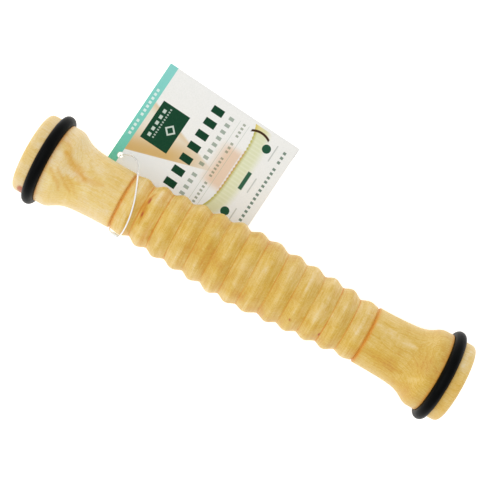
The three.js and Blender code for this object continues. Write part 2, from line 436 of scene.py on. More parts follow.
def body_radius(x):
    """Radius at x for |x| up to the ring's inner lip."""
    ax = abs(x)
    g = V_GROOVE_X[1]
    if ax >= g + V_GROOVE_HALF:
        if ax < 82.6:
            r = 17.65
        else:
            r = float(pchip(_fx, _fr, np.array([ax]))[0])
        k = (ax - (g + V_GROOVE_HALF)) / SMALL
        return r - (0.10 * (1 - k) ** 2 if k < 1 else 0.0)
    if ax > g - V_GROOVE_HALF:
        k = abs(ax - g) / V_GROOVE_HALF
        top = 17.55 if ax > g else 17.25
        return V_GROOVE_R + (top - V_GROOVE_R) * k
    ends = [(-(g - V_GROOVE_HALF), 17.3)] + VALLEYS + [(g - V_GROOVE_HALF, 17.3)]
    for i, (cx, cr) in enumerate(CRESTS):
        lo, hi = ends[i], ends[i + 1]
        if lo[0] <= x <= hi[0]:
            vx, vr = lo if x <= cx else hi
            t = abs((x - cx) / (vx - cx))
            r = vr + (cr - vr) * max(math.cos(math.pi / 2 * t), 0.0) ** 1.6
            # a fine cut line at the very bottom of the valley
            d = abs(x - vx)
            return r - (0.16 * (1 - d / 0.34) if d < 0.34 else 0.0)
    return 17.35


def body_profile():
    """[x, radius] from end to end, with the mm of detail that a lathe leaves."""
    half = []                                # from the end face inwards, positive side
    for r in (0.6, 1.6, 3.2, 5.2, 7.6, 10.2, 12.8, 15.2, 17.4, 19.2, 20.4, 21.0):
        half.append((LENGTH / 2, r))
    for i in range(9):
        a = math.pi / 2 * i / 8
        half.append((
            LENGTH / 2 - RIM_FILLET * (1 - math.cos(a)),
            END_R - RIM_FILLET + RIM_FILLET * math.sin(a),
        ))
    for x in np.arange(136.6, RING_X + LIP + LIP_ROUND + 0.05, -0.42):
        half.append((float(x), END_R))
    for i in range(4):                       # outer lip, rounded over
        a = math.pi / 2 * i / 4
        half.append((RING_X + LIP + LIP_ROUND * (1 - math.sin(a)), END_R - 0.22 * (1 - math.cos(a))))
    for i in range(19):                      # seat under the ring
        a = (SEAT_HALF - 0.06) * (1 - i / 9)
        half.append((RING_X + SEAT_R * math.sin(a), SEAT_C - SEAT_R * math.cos(a)))
    for i in range(4, 0, -1):
        a = math.pi / 2 * i / 4
        half.append((RING_X - LIP - LIP_ROUND * (1 - math.sin(a)), END_R - 0.22 * (1 - math.cos(a))))
    inner = RING_X - LIP - LIP_ROUND
    g = V_GROOVE_X[1]
    for x in np.arange(inner - 0.1, g + V_GROOVE_HALF + SMALL + 0.2, -0.46):
        half.append((float(x), body_radius(float(x))))
    for x in (g + V_GROOVE_HALF + SMALL, g + V_GROOVE_HALF + 0.15, g + V_GROOVE_HALF, g + 0.6, g + 0.35,
              g + 0.14, g, g - 0.14, g - 0.35, g - 0.6, g - V_GROOVE_HALF):
        half.append((x, body_radius(x)))
    right = half
    left = [(-x, r) for x, r in half]
    mid = []
    marks = [-(g - V_GROOVE_HALF)] + [v[0] for v in VALLEYS] + [g - V_GROOVE_HALF]
    for a, b in zip(marks, marks[1:]):
        n = 26
        for i in range(n + 1):
            # closer steps at the valleys, where the line is sharp
            t = i / n
            t = t - 0.11 * math.sin(2 * math.pi * t)
            if i == 0 and a == marks[0]:
                continue
            if i == n and b == marks[-1]:
                continue
            if i == n:
                continue
            mid.append((a + (b - a) * t, body_radius(a + (b - a) * t)))
    return left + mid + right[::-1]


AROUND = 176
prof = np.array(body_profile())
rows = len(prof)
ang = 2 * np.pi * np.arange(AROUND) / AROUND
X = np.repeat(prof[:, 0], AROUND)
R = np.repeat(prof[:, 1], AROUND)
A = np.tile(ang, rows)                       # 0 at +Y, a quarter turn at the top
# a slow out-of-round and the light ripple of a hand-held tool, none of it at the seats or ends
free = np.clip((118.0 - np.abs(X)) / 6.0, 0, 1)
pts_dir = np.stack([X * 0.045, np.cos(A) * 1.1, np.sin(A) * 1.1], 1)
R = R + free * (0.05 * noise3(pts_dir, 3) + 0.028 * noise3(np.stack([X * 0.31, np.cos(A) * 1.7, np.sin(A) * 1.7], 1), 9))
ripple = noise3(np.stack([X * 1.15, np.cos(A) * 0.5, np.sin(A) * 0.5], 1), 21)
R = R + free * 0.018 * ripple
BX, BY, BZ = X, R * np.cos(A), R * np.sin(A)
verts = np.stack([BX, BY, BZ + AXIS_Z], 1) * MM
verts = np.vstack([verts, [[-LENGTH / 2 * MM, 0, AXIS_Z * MM], [LENGTH / 2 * MM, 0, AXIS_Z * MM]]])
faces = []
for i in range(rows - 1):
    o = i * AROUND
    for k in range(AROUND):
        a, b = o + k, o + (k + 1) % AROUND
        faces.append((a, a + AROUND, b + AROUND, b))
cl, cr_ = rows * AROUND, rows * AROUND + 1
for k in range(AROUND):
    faces.append((k, (k + 1) % AROUND, cl))
    o = (rows - 1) * AROUND
    faces.append((o + (k + 1) % AROUND, o + k, cr_))

# ---- tints laid on the turning: brown lines in the grooves, partly burn marks and partly painted shade; the figure of the wood, with painted highlights on the crests and shoulders; end grain
P = np.vstack([np.stack([BX, BY, BZ], 1), [[-140, 0, 0], [140, 0, 0]]])
px, py, pz = P.T
pr = np.hypot(py, pz)


def soft(d, w):
    return np.exp(-((d / w) ** 2))


# brown lines: partly burn marks, partly painted shade in the V grooves, the rib valleys and beside the ring seats
stain_and_shade = np.zeros(len(P))
wob = noise3(P * [0.9, 0.16, 0.16], 31)
for gx in V_GROOVE_X:
    stain_and_shade = np.maximum(stain_and_shade, soft(px - gx - 0.3, 1.2) * (0.95 + 0.15 * wob))
for i, (vx, _) in enumerate(VALLEYS):
    strength = (0.75, 0.80, 0.60, 0.42, 0.42, 0.50, 0.56, 0.60, 0.36, 0.42, 0.82, 0.55)[i]
    stain_and_shade = np.maximum(stain_and_shade, soft(px - vx, 0.38) * strength * 1.3 * (0.8 + 0.6 * noise3(P * [0.1, 0.13, 0.13], 40 + i)))
# painted shade with some burn, in a band beside each ring seat
for s in (-1, 1):
    stain_and_shade = np.maximum(stain_and_shade, soft(px - s * (RING_X - LIP - 0.1), 1.25) * (0.72 + 0.2 * wob))
    stain_and_shade = np.maximum(stain_and_shade, soft(px - s * (RING_X + LIP + 0.15), 0.45) * 0.35)
stain_and_shade = np.clip(stain_and_shade, 0, 1)


def stroke(ax, ay, bx, by, width, top=1.0, seed=1, rag=0.35):
    """Soft stroke seen from above, between two points, on the upper half."""
    dx, dy = bx - ax, by - ay
    L2 = dx * dx + dy * dy
    wx = px + 1.6 * noise3(P * 0.16, seed)
    wy = py + 1.6 * noise3(P * 0.16, seed + 7)
    t = np.clip(((wx - ax) * dx + (wy - ay) * dy) / L2, 0, 1)
    d = np.hypot(wx - ax - t * dx, wy - ay - t * dy)
    taper = 0.45 + 0.55 * np.sin(np.pi * np.clip(t, 0.02, 0.98))
    v = soft(d, width * taper) * (1 + rag * noise3(P * [0.25, 0.6, 0.6], seed + 13))
    return top * v * (pz > -2)


fig_and_highlight = np.zeros(len(P))
# left shoulder: pale swirl with an orange streak running down to the neck
fig_and_highlight += stroke(-119.3, 8.5, -103.0, 0.4, 2.6, 0.20, 61)
fig_and_highlight += stroke(-127.0, 19.0, -116.5, 10.5, 2.4, 0.10, 62)
fig_and_highlight += stroke(-122.0, -2.4, -112.0, -12.4, 1.5, 0.13, 63)
fig_and_highlight += stroke(-117.6, -2.0, -108.0, -11.0, 1.3, 0.13, 64)
fig_and_highlight += stroke(-113.5, -1.2, -104.5, -9.2, 1.2, 0.11, 65)
fig_and_highlight += stroke(-109.0, 0.0, -101.5, -6.0, 1.0, 0.08, 66)
fig_and_highlight += stroke(-104.0, 0.2, -92.0, 1.8, 2.4, 0.12, 67)
# the first two are painted highlights: pale glints on the left shoulder
fig_and_highlight -= stroke(-126.0, 9.0, -121.5, 6.0, 3.4, 0.20, 71)
fig_and_highlight -= stroke(-124.5, -8.5, -119.0, -11.5, 3.4, 0.20, 72)
fig_and_highlight -= stroke(-102.5, -4.0, -97.5, -5.5, 2.6, 0.16, 73)
fig_and_highlight -= stroke(-116.0, -16.0, -106.0, -15.0, 2.4, 0.12, 74)
fig_and_highlight -= stroke(-100.0, 9.5, -84.0, 9.0, 3.0, 0.08, 75)
fig_strokes = fig_and_highlight.copy()
fig_and_highlight = 0.7 * fig_and_highlight + 0.09 * noise3(P * [0.055, 0.085, 0.085], 51) + 0.08 * noise3(P * [0.14, 0.2, 0.2], 52)
# a stain round the two small knots, and along the first valleys
fig_and_highlight += stroke(-66.0, 11.5, -65.2, -6.0, 1.5, 0.34, 81)
fig_and_highlight += stroke(-74.0, -4.0, -68.5, -13.0, 1.6, 0.14, 82)
fig_and_highlight += stroke(-55.0, -6.0, -54.0, -14.0, 1.6, 0.18, 84)
# soft pale patches on the right neck and shoulder; the long band on the neck is a painted highlight, a pale sheen, with
# a golden band under it
fig_and_highlight -= stroke(82.0, 8.2, 107.0, 7.0, 2.6, 0.22, 76)
fig_and_highlight -= stroke(112.0, -9.0, 121.0, -6.0, 2.2, 0.13, 77)
fig_and_highlight += stroke(83.0, -7.0, 106.0, -9.0, 4.0, 0.15, 78)
# the ribs: a painted highlight along each crest, and painted shade, darker and more golden, down the flank beyond it
painted_flank_shade = np.zeros(len(P))
for cx, _ in CRESTS:
    fig_and_highlight -= 0.19 * soft(px - (cx - 0.4), 0.95) * np.clip(0.55 + 1.1 * noise3(P * [0.1, 0.16, 0.16], 85), 0, 1.3)
    painted_flank_shade += soft(px - (cx + 2.9), 1.9) * np.clip(0.6 + 0.9 * noise3(P * [0.12, 0.15, 0.15], 87), 0, 1.4) * np.interp(cx, [-73, -61, -49, -24, 0, 74], [2.2, 2.5, 1.7, 1.4, 1.0, 0.9])
fig_and_highlight += stroke(108.0, -1.5, 122.5, 1.0, 3.0, 0.02, 79)
# painted highlight: a pale glint on the upper side of the right end
fig_and_highlight -= stroke(133.5, 11.0, 135.0, 20.0, 2.6, 0.24, 86)


def spot(x, y, z, sx, sy, sz, top=1.0):
    d = ((px - x) / sx) ** 2 + ((py - y) / sy) ** 2 + ((pz - z) / sz) ** 2
    return np.clip(1.5 * top * np.exp(-(d ** 1.5)), 0, 1)


knot = spot(-133.4, -22.6, 9.2, 2.0, 2.5, 5.2, 1.5)
knot = np.maximum(knot, spot(-65.0, 7.4, 15.0, 0.62, 1.9, 3.2, 1.0))
knot = np.maximum(knot, spot(-65.1, -1.2, 16.8, 0.55, 1.5, 3.0, 1.0))
knot = np.maximum(knot, spot(36.8, -13.2, 15.8, 0.6, 0.7, 1.6, 1.0))
knot = np.maximum(knot, spot(55.5, -12.6, 12.4, 0.5, 0.9, 1.8, 1.0))
knot = np.maximum(knot, spot(41.0, 9.0, -16.0, 1.4, 1.1, 1.8, 0.7))
knot = np.maximum(knot, spot(-96.0, -8.0, -15.8, 2.2, 1.3, 1.6, 0.6))

# how golden the wood is: clouds along the grain, a warm streak along the upper side, and painted warm shade in the
# grooves, the valleys and on the first rib's flank
honey_and_shade = np.interp(px, [-140, -84, -70, 90, 112, 124, 132, 140], [0.18, 0.10, 0.38, 0.16, 0.02, 0.10, 0.10, 0.10])
# the warm patch at x = -68.5 is painted shade colour on the first rib's flank
honey_and_shade += 0.42 * soft(px + 112.0, 9.0) + 0.35 * soft(px + 68.5, 3.5) + 0.46 * noise3(P * [0.035, 0.09, 0.09], 91) + 0.44 * noise3(P * [0.11, 0.2, 0.2], 92)
mid_y = np.interp(px, [-140, -110, -85, -40, 50, 85, 140], [-3.0, -9.0, -1.0, 1.0, -3.0, -7.0, -10.0])
honey_and_shade = honey_and_shade + np.interp(px, [60, 85, 140], [0.42, 0.66, 0.60]) * soft(py - mid_y, 8.0) * (pz > 0)
honey_and_shade += 0.90 * soft(np.clip(py + 4.0, 0, None), 9.0) * np.clip((px - 124.0) / 6.0, 0, 1) * (pz > -10)
honey_and_shade += 1.8 * np.clip(fig_strokes, 0, 1)
# painted shade: a warmer tint down in the V grooves and the rib valleys
for gx in V_GROOVE_X:
    honey_and_shade += 0.8 * soft(px - gx - 0.3, 1.6)
for vx, _ in VALLEYS:
    honey_and_shade += 0.5 * soft(px - vx, 0.7)
honey_and_shade = np.clip(honey_and_shade, 0, 1)
# add the figure's orange streaks, and painted shade down the rib flanks, strongest on the first rib
stain_and_shade = stain_and_shade + 2.0 * np.clip(fig_strokes, 0, 1) + 0.13 * painted_flank_shade + 0.13 * soft(px + 68.2, 2.2)
stain_and_shade += 0.13 * soft(np.clip(py + 1.0, 0, None), 6.0) * np.clip((px - 124.0) / 6.0, 0, 1) * (pz > -10)
stain_and_shade = np.clip(stain_and_shade + stroke(-66.2, 11.0, -65.0, -5.0, 1.9, 0.32, 81), 0, 1)

endg = np.where(np.abs(px) > 139.2, np.clip((22.6 - pr) / 0.9, 0, 1), 0.0)


# ---------------------------------------------------------------- wood
def wood_material():
    n = Nodes("turned_hardwood")
    co = n.vec("MULTIPLY", n.vec("SUBTRACT", n.coords(), (0.0, 0.0, AXIS_Z * MM)), (1000.0,) * 3)   # mm from the axis
    x, y, z = n.xyz(co)
    # slow warp of the growth layers, long along the grain
    warp = n.noise(n.vec("MULTIPLY", co, (0.30, 0.75, 0.75)), 0.115, 3.0, 0.5)
    warp2 = n.noise(n.vec("MULTIPLY", co, (0.5, 1.0, 1.0)), 0.042, 2.0, 0.5)
    # nearly level layers, bowed round a far pith
    bow = n.math("SQRT", n.add(n.math("POWER", n.add(y, 34.0), 2.0), n.math("POWER", n.add(z, 92.0), 2.0)))
    layer = n.add(n.add(n.mul(bow, 0.66), n.mul(warp, 4.0)), n.mul(warp2, 3.0))
    saw = n.math("FRACT", layer)
    late = n.map(saw, 0.55, 0.96, 0.0, 1.0, "SMOOTHSTEP")
    late = n.mul(late, n.map(saw, 0.96, 1.0, 1.0, 0.0))
    soft_late = n.map(n.math("SINE", n.mul(layer, 2 * math.pi)), -1.0, 1.0, 0.0, 1.0)
    # fibres along the grain, at two widths
    fibre = n.noise(n.vec("MULTIPLY", co, (0.045, 1.0, 1.0)), 2.3, 3.0, 0.6)
    fibre2 = n.noise(n.vec("MULTIPLY", co, (0.10, 1.0, 1.0)), 6.5, 2.0, 0.55)
    # curl and cloud in the figure
    curl = n.noise(n.vec("MULTIPLY", co, (1.5, 0.55, 0.55)), 0.16, 3.0, 0.55, 0.9)
    cloud = n.noise(n.vec("MULTIPLY", co, (0.7, 1.0, 1.0)), 0.075, 3.0, 0.6, 0.4)
    # fuzzy marks across the grain, left by turning and sanding
    theta = n.math("ARCTAN2", z, y)
    radius = n.math("SQRT", n.add(n.mul(y, y), n.mul(z, z)))
    turn = n.noise(n.join(x, n.mul(n.math("COSINE", theta), 1.3), n.mul(n.math("SINE", theta), 1.3)), 1.35, 4.0, 0.65)
    fleck = n.noise(n.vec("MULTIPLY", co, (0.6, 1.3, 1.3)), 1.25, 3.0, 0.7, 0.5)

    base = n.ramp(
        n.add(n.map(x, -140.0, 140.0, 0.0, 1.0), n.mul(n.sub(cloud, 0.5), 0.10)),
        [(0.0, (0.36,) * 3 + (1,)), (0.08, (0.27,) * 3 + (1,)), (0.15, (0.34,) * 3 + (1,)), (0.20, (0.36,) * 3 + (1,)),
         (0.25, (0.45,) * 3 + (1,)), (0.30, (0.54,) * 3 + (1,)), (0.38, (0.60,) * 3 + (1,)), (0.50, (0.58,) * 3 + (1,)),
         (0.62, (0.57,) * 3 + (1,)), (0.72, (0.60,) * 3 + (1,)), (0.80, (0.53,) * 3 + (1,)), (0.90, (0.59,) * 3 + (1,)),
         (0.955, (0.56,) * 3 + (1,)), (0.975, (0.38,) * 3 + (1,)), (1.0, (0.36,) * 3 + (1,))],
    )
    # figure tone, carrying the painted highlights on the crests, shoulders and right end as well
    tone = n.add(base, n.mul(n.attr("figure_and_highlight"), 0.95))
    ribs = n.mul(n.map(x, -81.0, -78.0, 0.0, 1.0), n.map(x, 78.0, 81.0, 1.0, 0.0))    # 1 over the ribs
    tone = n.add(tone, n.mul(n.sub(curl, 0.5), 0.20))
    tone = n.add(tone, n.mul(n.sub(cloud, 0.5), 0.18))
    tone = n.add(tone, n.mul(late, n.map(ribs, 0.0, 1.0, 0.13, 0.05)))
    tone = n.add(tone, n.mul(n.sub(soft_late, 0.5), 0.055))
    tone = n.add(tone, n.mul(n.sub(fibre, 0.5), n.map(ribs, 0.0, 1.0, 0.38, 0.20)))
    tone = n.add(tone, n.mul(n.sub(fibre2, 0.5), 0.16))
    tone = n.add(tone, n.mul(n.sub(turn, 0.5), n.map(ribs, 0.0, 1.0, 0.18, 0.66)))
    tone = n.add(tone, n.mul(n.sub(fleck, 0.5), 0.46))
    tone = n.add(tone, n.mul(n.attr("end_grain"), 0.10))
    col = n.ramp(n.math("ADD", tone, 0.0, clamp=True), [
        (0.0, srgb(238, 222, 190)), (0.25, srgb(232, 208, 158)), (0.45, srgb(225, 193, 120)),
        (0.62, srgb(213, 177, 81)), (0.80, srgb(205, 153, 59)), (1.0, srgb(176, 104, 38)),
    ])
    # golden clouds, with the sap's fine dots in them, over the honey tint that also carries painted warm shade
    chroma = n.noise(n.vec("MULTIPLY", co, (0.8, 1.0, 1.0)), 0.42, 4.0, 0.7, 0.6)
    gold = n.math("ADD", n.attr("honey_and_shade"), n.mul(n.sub(chroma, 0.5), 2.2), clamp=True)
    col = n.mix(gold, col, n.vec("MULTIPLY", col, (0.99, 0.935, 0.60)))
    # rays and fine rings on the end faces
    eg = n.attr("end_grain")
    ray = n.noise(n.join(n.mul(theta, 22.0), n.mul(radius, 0.16), 0.0), 1.0, 2.0, 0.6)
    pore = n.noise(co, 5.5, 2.0, 0.6)
    endtone = n.add(n.mul(late, 0.72), n.add(n.mul(n.sub(ray, 0.5), 0.5), n.mul(n.sub(pore, 0.5), 0.55)))
    endcol = n.mix(n.math("ADD", n.mul(endtone, 0.8), 0.30, clamp=True), srgb(230, 202, 138), srgb(190, 146, 78))
    col = n.mix(n.mul(eg, 0.80), col, endcol)
    # brown in the cut lines and beside the rings, partly burn marks and partly painted shade in these hollows; redder
    # in the knots
    rag = n.map(n.noise(n.vec("MULTIPLY", co, (1.0, 0.5, 0.5)), 1.6, 2.0, 0.6), 0.25, 0.75, 0.42, 1.15)
    col = n.mix(n.math("MULTIPLY", n.attr("stain_and_shade"), rag, clamp=True), col, srgb(212, 130, 26))
    kn = n.math("MULTIPLY", n.attr("knot"), n.map(n.noise(co, 2.6, 2.0, 0.6), 0.2, 0.7, 0.85, 1.15), clamp=True)
    col = n.mix(kn, col, srgb(182, 90, 34))
    # finish: thin satin oil, a little drier where the fibres are open
    rough = n.add(n.map(fibre, 0.3, 0.7, 0.36, 0.48), n.mul(n.attr("stain_and_shade"), 0.16))
    rough = n.add(rough, n.mul(eg, 0.16))
    grain_h = n.add(n.mul(fibre2, 0.5), n.add(n.mul(fibre, 0.35), n.mul(late, -0.10)))
    b1 = n.bump(grain_h, 0.34, 0.00010)
    tool = n.noise(n.join(n.mul(x, 1.0), n.mul(n.math("COSINE", theta), 0.6), n.mul(n.math("SINE", theta), 0.6)), 2.4, 3.0, 0.6)
    endring = n.math("SINE", n.mul(radius, 2 * math.pi / 0.62))
    b2 = n.bump(n.add(tool, n.mul(n.mul(endring, eg), 0.12)), 0.30, 0.00016, b1)
    b = n.surface(Base_Color=col, Roughness=rough, IOR=1.5, Normal=b2)
    b.inputs["Specular IOR Level"].default_value = 0.42
    b.inputs["Coat Weight"].default_value = 0.10
    b.inputs["Coat Roughness"].default_value = 0.28
    return n.mat


body = mesh_object("turned_roller", verts, faces, [wood_material()])
for name, values in (("stain_and_shade", stain_and_shade), ("figure_and_highlight", fig_and_highlight), ("knot", knot), ("end_grain", endg), ("honey_and_shade", honey_and_shade)):
    at = body.data.attributes.new(name, "FLOAT", "POINT")
    at.data.foreach_set("value", np.ascontiguousarray(values, np.float32))
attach(body, "roller")
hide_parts("roller_body")


# ---------------------------------------------------------------- rubber rings
def rubber_material():
    n = Nodes("satin_black_rubber")
    co = n.coords()
    cloud = n.noise(co, 140.0, 3.0, 0.55)
    grit = n.noise(co, 2600.0, 3.0, 0.6)
    dust = n.noise(co, 620.0, 4.0, 0.65)
    col = n.mix(n.map(cloud, 0.3, 0.7, 0.0, 1.0), srgb(2, 3, 3), srgb(7, 8, 8))
    col = n.mix(n.map(dust, 0.62, 0.80, 0.0, 0.26), col, srgb(34, 37, 38))
    b = n.surface(
        Base_Color=col,
        Roughness=n.add(n.map(cloud, 0.3, 0.7, 0.34, 0.46), n.map(dust, 0.5, 0.8, 0.0, 0.12)),
        IOR=1.52,
        Normal=n.bump(grit, 0.30, 0.00006, n.bump(dust, 0.16, 0.00012)),
    )
    b.inputs["Specular IOR Level"].default_value = 0.05
    return n.mat


rubber = rubber_material()


def make_ring(name, node, cx, seed):
    big, small = 208, 44
    rc, rs = SEAT_C, RING_SECTION / 2
    vs, fs = [], []
    for i in range(big):
        a = 2 * math.pi * i / big
        # the stretched ring rolls and breathes by a few hundredths
        tw = 0.05 * math.sin(2 * a + seed) + 0.03 * math.sin(5 * a + 2 * seed)
        for k in range(small):
            b = 2 * math.pi * k / small
            r = rs - 0.012 - 0.012 * math.sin(3 * a + seed)
            # a slight dip at the outer mid line, where the mould parts; the inner mid line stays plain
            for line_at in (0.0, math.pi):
                d = math.atan2(math.sin(b - line_at - tw), math.cos(b - line_at - tw))
                if line_at:
                    r += 0.0
                r -= 0.035 * math.exp(-((d / 0.16) ** 2)) if line_at == 0.0 else 0.0
            rr = rc + r * math.cos(b)
            vs.append((cx + r * math.sin(b), rr * math.cos(a), AXIS_Z + rr * math.sin(a)))
    for i in range(big):
        for k in range(small):
            p, q = i * small + k, i * small + (k + 1) % small
            o = ((i + 1) % big) * small
            r_, s_ = o + (k + 1) % small, o + k
            fs.append((p, q, r_, s_))
    ob = mesh_object(name, np.array(vs) * MM, fs, [rubber])
    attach(ob, "roller")
    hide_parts(node)
    return ob


ring_l = make_ring("ring_left", "rubber_ring_left", -RING_X, 0.7)
ring_r = make_ring("ring_right", "rubber_ring_right", RING_X, 2.9)


# ---------------------------------------------------------------- hang tag
TAG_CORNER = 0.5


def tag_mesh():
    """Card with softly cut corners, a punched hole and rounded cut edges, in its own frame (mm)."""
    bm = bmesh.new()
    x0, x1 = TAG_LONG
    y0, y1 = TAG_SHORT
    loop = []
    for cx, cy, a0 in ((x1, y0, -90), (x1, y1, 0), (x0, y1, 90), (x0, y0, 180)):
        ox = cx - math.copysign(TAG_CORNER, cx - (x0 + x1) / 2)
        oy = cy - math.copysign(TAG_CORNER, cy - (y0 + y1) / 2)
        for k in range(5):
            a = math.radians(a0 + 90 * k / 4)
            loop.append(bm.verts.new((ox + TAG_CORNER * math.cos(a), oy + TAG_CORNER * math.sin(a), 0)))
    edges = [bm.edges.new((a, b)) for a, b in zip(loop, loop[1:] + loop[:1])]
    hole = [
        bm.verts.new((TAG_HOLE_R * math.cos(2 * math.pi * k / 40), TAG_HOLE_R * math.sin(2 * math.pi * k / 40), 0))
        for k in range(40)
    ]
    edges += [bm.edges.new((a, b)) for a, b in zip(hole, hole[1:] + hole[:1])]
    bmesh.ops.triangle_fill(bm, use_beauty=True, use_dissolve=False, edges=edges)
    for k in range(int((x1 - x0) / 3.5)):
        x = x0 + 3.5 * (k + 1)
        if x < x1 - 0.8:
            bmesh.ops.bisect_plane(bm, geom=bm.verts[:] + bm.edges[:] + bm.faces[:], plane_co=(x, 0, 0), plane_no=(1, 0, 0))
    for k in range(int((y1 - y0) / 3.5)):
        y = y0 + 3.5 * (k + 1)
        if y < y1 - 0.8:
            bmesh.ops.bisect_plane(bm, geom=bm.verts[:] + bm.edges[:] + bm.faces[:], plane_co=(0, y, 0), plane_no=(0, 1, 0))
    bmesh.ops.recalc_face_normals(bm, faces=bm.faces[:])
    bm.normal_update()
    if bm.faces[0].normal.z > 0:
        for f in bm.faces:
            f.normal_flip()
    base = bm.faces[:]
    # bottom faces stay at z = 0; the copy above is the printed side
    got = bmesh.ops.extrude_face_region(bm, geom=base, use_keep_orig=True)
    top = [g for g in got["geom"] if isinstance(g, bmesh.types.BMVert)]
    for v in top:
        v.co.z += TAG_THICK
    bmesh.ops.recalc_face_normals(bm, faces=bm.faces[:])
    bm.normal_update()
    rim = [
        e for e in bm.edges
        if len(e.link_faces) == 2 and abs(e.link_faces[0].normal.z) > 0.9 and abs(e.link_faces[1].normal.z) < 0.1
        or len(e.link_faces) == 2 and abs(e.link_faces[1].normal.z) > 0.9 and abs(e.link_faces[0].normal.z) < 0.1
    ]
    bmesh.ops.bevel(bm, geom=rim, offset=0.07, segments=2, profile=0.5, affect="EDGES")
    bm.normal_update()
    for f in bm.faces:
        f.material_index = 0 if f.normal.z > 0.5 and f.calc_center_median().z > TAG_THICK * 0.5 else 1
        f.smooth = True
    # card stock is never quite flat: a slow bow along the near edge and a slight wave across the middle
    x0, x1 = TAG_LONG
    for v in bm.verts:
        u, w = (v.co.x - x0) / (x1 - x0), (v.co.y - TAG_SHORT[0]) / (TAG_SHORT[1] - TAG_SHORT[0])
        v.co.z += 0.10 * math.sin(math.pi * u) * (1 - w) + 0.05 * math.sin(2 * math.pi * u + 0.6) * w * (1 - w)
    for v in bm.verts:
        v.co *= MM
    me = bpy.data.meshes.new("printed_card")
    bm.to_mesh(me)
    bm.free()
    return me


